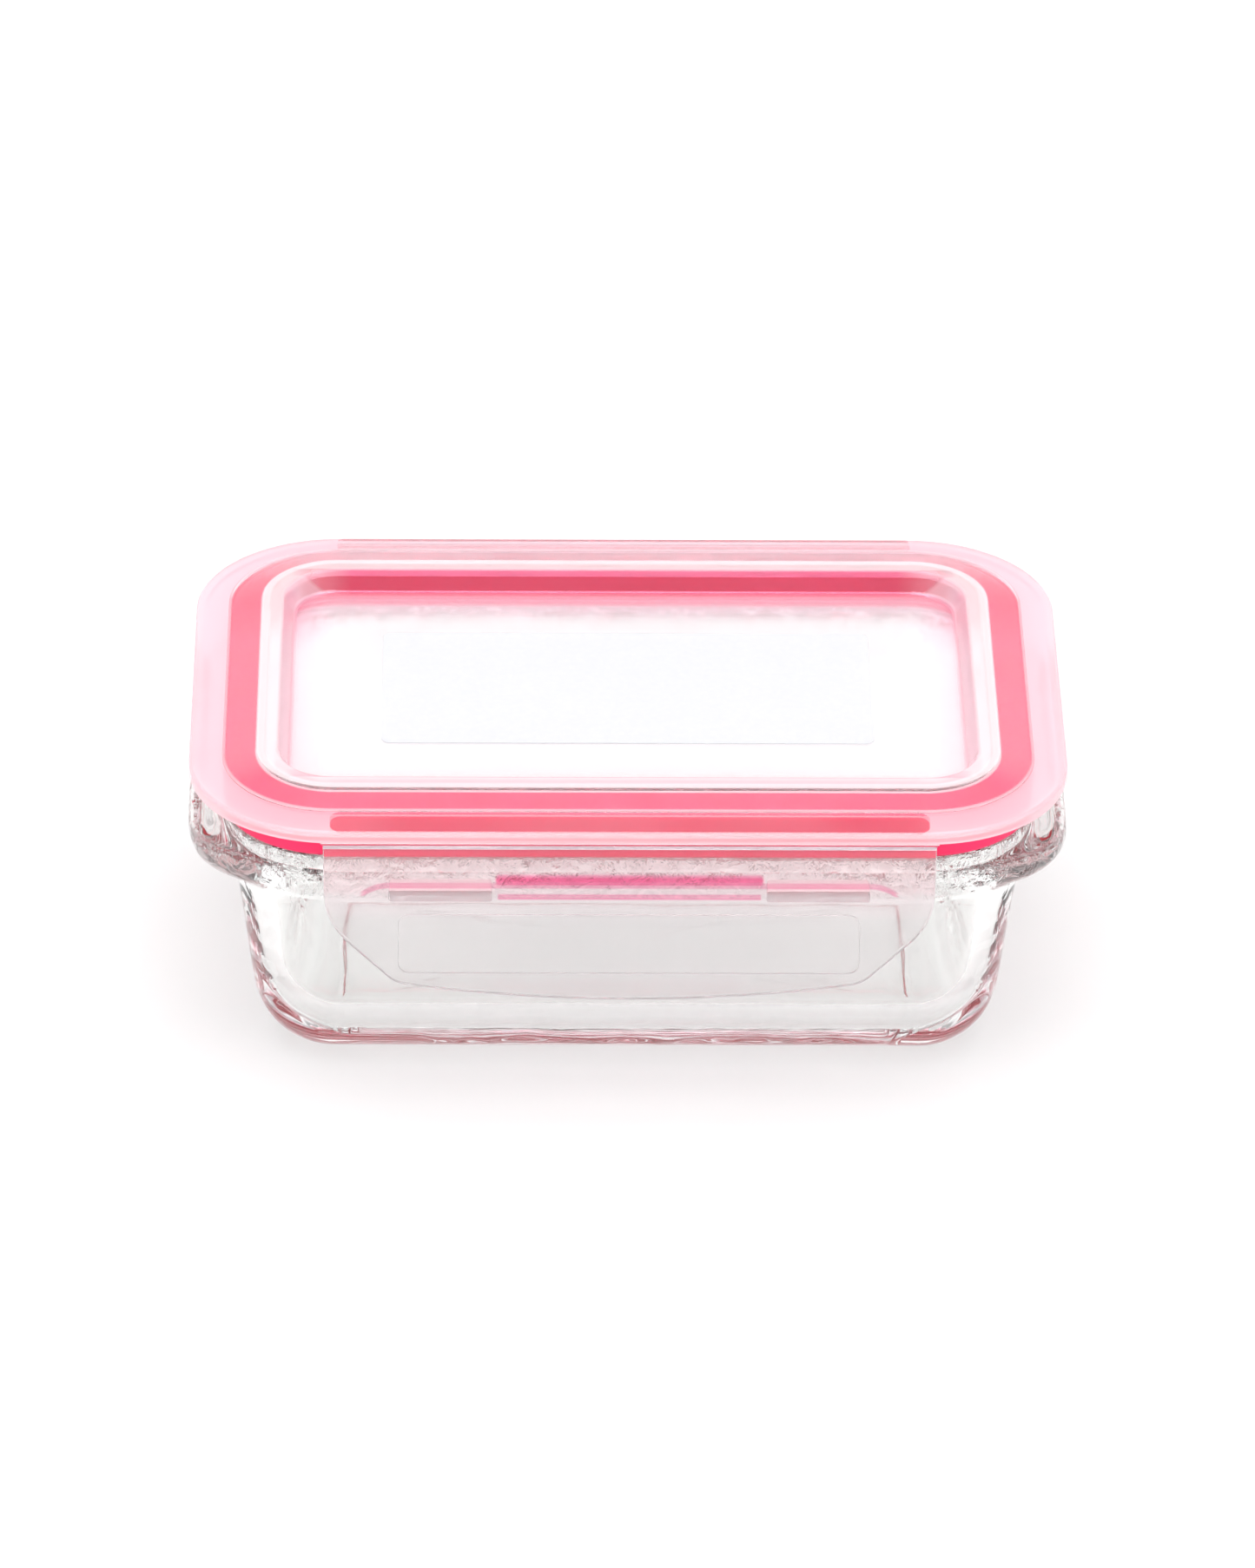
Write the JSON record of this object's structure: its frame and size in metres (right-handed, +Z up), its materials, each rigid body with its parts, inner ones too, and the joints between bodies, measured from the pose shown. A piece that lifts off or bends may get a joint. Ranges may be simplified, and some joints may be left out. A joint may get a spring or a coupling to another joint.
{
  "type": "snap lid food container",
  "caption": "Rectangular glass food box with end grip ledges, a clear plastic snap lid with fold-down latch flaps, and a pink silicone seal under its rim.",
  "frame": {"origin": "middle of the underside, on the surface the box stands on", "axes": "+X along the length, -Y towards the front latch flap, +Z up"},
  "size_m": [0.1508, 0.102, 0.058],
  "materials": {
    "pressed_glass": "clear fire-polished pressed glass",
    "lid_plastic": "clear moulded polypropylene, slightly milky",
    "flap_plastic": "clear moulded polypropylene, slightly milky",
    "frosted_plastic": "fine frosted field, blank",
    "seal_silicone": "smooth pink silicone rubber"
  },
  "bodies": {
    "dish": {"glass_dish": "pressed_glass"},
    "lid": {"lid_shell": "lid_plastic", "writing_field": "frosted_plastic", "seal_gasket": "seal_silicone", "front_hinge_web": "flap_plastic", "rear_hinge_web": "flap_plastic"},
    "front_flap": {"front_latch_flap": "flap_plastic", "front_catches": "flap_plastic"},
    "rear_flap": {"rear_latch_flap": "flap_plastic", "rear_catches": "flap_plastic"}
  },
  "joints": [
    {"name": "lid_lift", "type": "slide", "parent": "dish", "child": "lid", "axis": [0, 0, 1], "range_m": [0, 0.08]},
    {"name": "front_flap_hinge", "type": "hinge", "parent": "lid", "child": "front_flap", "pos_m": [0, -0.051, 0.0531], "axis": [-1, 0, 0], "range_deg": [0, 150]},
    {"name": "rear_flap_hinge", "type": "hinge", "parent": "lid", "child": "rear_flap", "pos_m": [0, 0.051, 0.0531], "axis": [1, 0, 0], "range_deg": [0, 150]}
  ]
}
